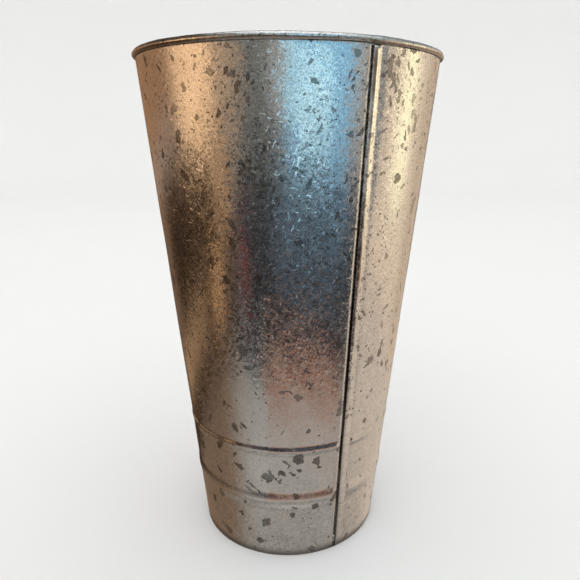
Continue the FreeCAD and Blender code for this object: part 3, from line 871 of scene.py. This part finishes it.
def build_world():
    """Pale light on the floor and backdrop, and for the metal the flats and lamps that it mirrors."""
    world = bpy.data.worlds.new("studio")
    bpy.context.scene.world = world
    world.use_nodes = True
    world.cycles.sampling_method = "NONE"
    nodes = Nodes(world.node_tree)
    shader = next(n for n in world.node_tree.nodes if n.type == "BACKGROUND")
    way = nodes.vector("NORMALIZE", nodes.add("ShaderNodeTexCoord").outputs["Generated"])
    towards = (math.sin(VIEW_AZIMUTH), -math.cos(VIEW_AZIMUTH), 0)
    rightwards = (math.cos(VIEW_AZIMUTH), math.sin(VIEW_AZIMUTH), 0)
    front = nodes.vector("DOT_PRODUCT", way, towards)
    side = nodes.vector("DOT_PRODUCT", way, rightwards)
    level = nodes.vector("DOT_PRODUCT", way, (0, 0, 1))
    degrees = 180 / math.pi
    turn = nodes.math("MULTIPLY", nodes.math("ARCTAN2", side, front), degrees)
    above = nodes.math("MULTIPLY", nodes.math("ARCSINE", level), degrees)
    colour = tone(GAP_COLOUR, ZINC_LOSS)
    for _, at_turn, half, fade, at_above, half_up, fade_up, code, gain in SURROUNDINGS:
        off = nodes.math("WRAP", nodes.math("SUBTRACT", turn, float(at_turn)), 180, -180)
        off_up = nodes.math("SUBTRACT", above, float(at_above))
        wide = within(nodes, off, half, fade)
        tall = within(nodes, off_up, half_up, fade_up)
        colour = nodes.mix(nodes.math("MULTIPLY", wide, tall), colour, tone(code, gain * ZINC_LOSS))
    mirrored = nodes.add("ShaderNodeLightPath").outputs["Is Glossy Ray"]
    nodes.put(shader.inputs[0], nodes.mix(mirrored, FLOOR_LIGHT, colour))


def build_lamp():
    """One broad soft lamp, high up and a little left of the viewpoint, for a soft shadow on the floor."""
    data = bpy.data.lights.new("key", "AREA")
    data.size = 1.6
    data.energy = 6
    lamp = bpy.data.objects.new("key", data)
    lamp.location = (-1.6, -1.4, 2.6)
    lamp.rotation_mode = "QUATERNION"
    lamp.rotation_quaternion = Vector(lamp.location).to_track_quat("Z", "Y")
    lamp.visible_glossy = False
    bpy.context.scene.collection.objects.link(lamp)


def build_camera():
    """The viewpoint: close, at 0.84 of the height, looking about 10 degrees down, the seam to the right."""
    distance, up = 1.2103 * HEIGHT, 0.8388 * HEIGHT
    pitch, turn, roll = (math.radians(v) for v in (10.227, 1.997, 0.245))
    ahead = Vector((math.sin(turn) * math.cos(pitch), math.cos(turn) * math.cos(pitch), -math.sin(pitch)))
    level = Vector((math.cos(turn), -math.sin(turn), 0))
    top = level.cross(ahead)
    right = level * math.cos(roll) + top * math.sin(roll)
    upward = top * math.cos(roll) - level * math.sin(roll)
    axes = Matrix((right, upward, -ahead)).transposed().to_4x4()
    data = bpy.data.cameras.new("camera")
    data.sensor_width = 36
    data.lens = 35.05
    data.shift_x, data.shift_y = -0.0324, -0.0865
    camera = bpy.data.objects.new("camera", data)
    place = Matrix.Translation((0, -distance, up))
    camera.matrix_world = Matrix.Rotation(VIEW_AZIMUTH, 4, "Z") @ place @ axes
    bpy.context.scene.collection.objects.link(camera)
    bpy.context.scene.camera = camera


def main():
    sheet = galvanised("galvanised_sheet", on_wall=True)
    base_sheet = galvanised("galvanised_base", on_wall=False)
    solder = soft_solder()
    pieces = [
        (build_wall(sheet), "wall_sheet", "galvanised_sheet"),
        (build_base(base_sheet), "base_pan", "galvanised_sheet"),
        (build_base_solder(solder), "base_solder", "solder"),
        (build_seam_solder(solder), "seam_solder", "solder"),
    ]
    for piece, node, slot in pieces:
        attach(piece, "root")
        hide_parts(node)
    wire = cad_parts["rim_wire"]
    wire_finish = drawn_wire()
    for place in wire.material_slots:
        place.material = wire_finish
    build_backdrop()
    build_world()
    build_lamp()
    build_camera()
    bpy.context.scene.view_settings.view_transform = "Standard"


main()
